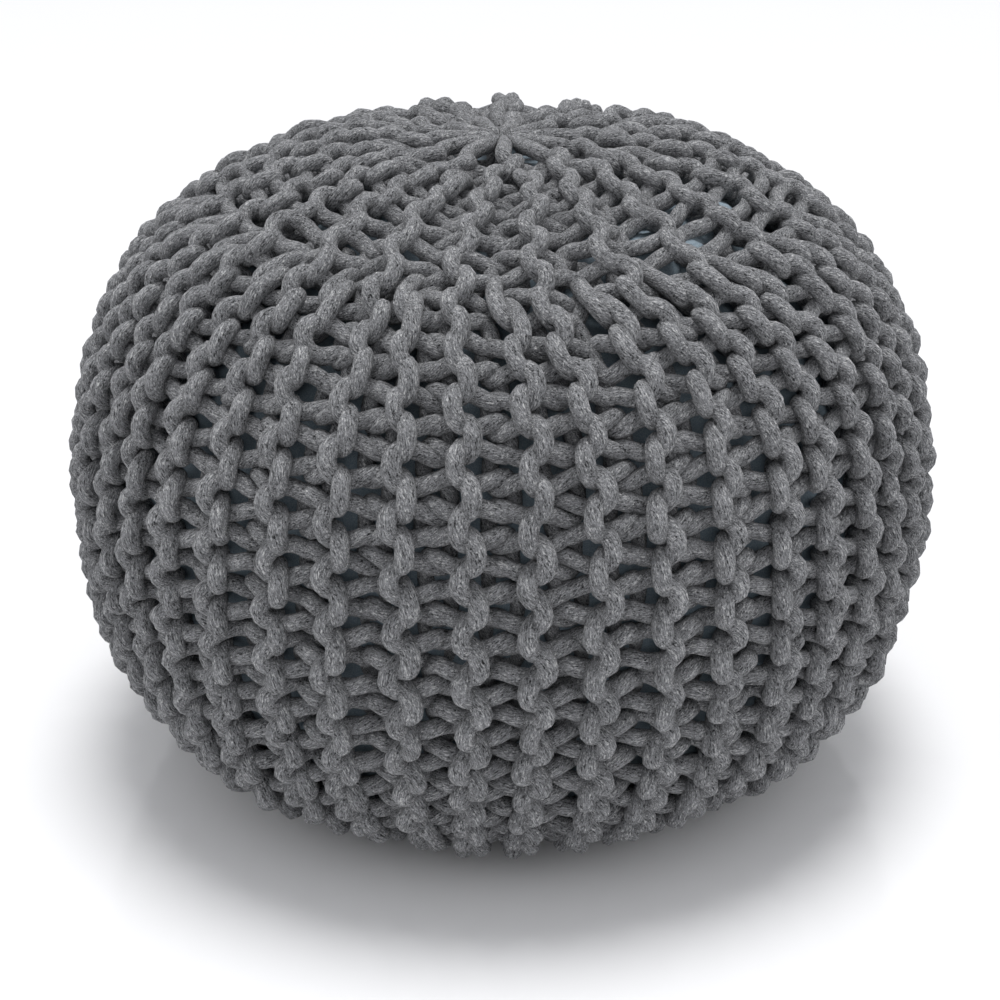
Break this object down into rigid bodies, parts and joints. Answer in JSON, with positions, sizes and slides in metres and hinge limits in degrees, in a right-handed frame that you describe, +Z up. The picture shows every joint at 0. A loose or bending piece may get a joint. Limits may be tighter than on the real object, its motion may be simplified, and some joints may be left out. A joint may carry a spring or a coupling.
{
  "type": "knitted pouf",
  "caption": "Round hand-knitted floor pouf: a garter-stitch cover of thick cotton cord with ridges from pole to pole, drawn closed over a filled cloth liner. Used as a low seat or footrest.",
  "frame": {"origin": "on the floor, under the centre of the flat base", "axes": "+Z up along the pouf's own axis, from the base to the pole where the spokes of the knit meet; -Y towards the picture's camera, +X to its right"},
  "size_m": [0.4994, 0.4994, 0.3674],
  "materials": {
    "cotton_cord": "matt mid-grey cotton cord, loosely twisted from fine yarns",
    "liner_cloth": "matt pale blue-grey woven cloth"
  },
  "bodies": {
    "root": {"knitted_cover": "cotton_cord", "liner_cushion": "liner_cloth"}
  },
  "joints": []
}
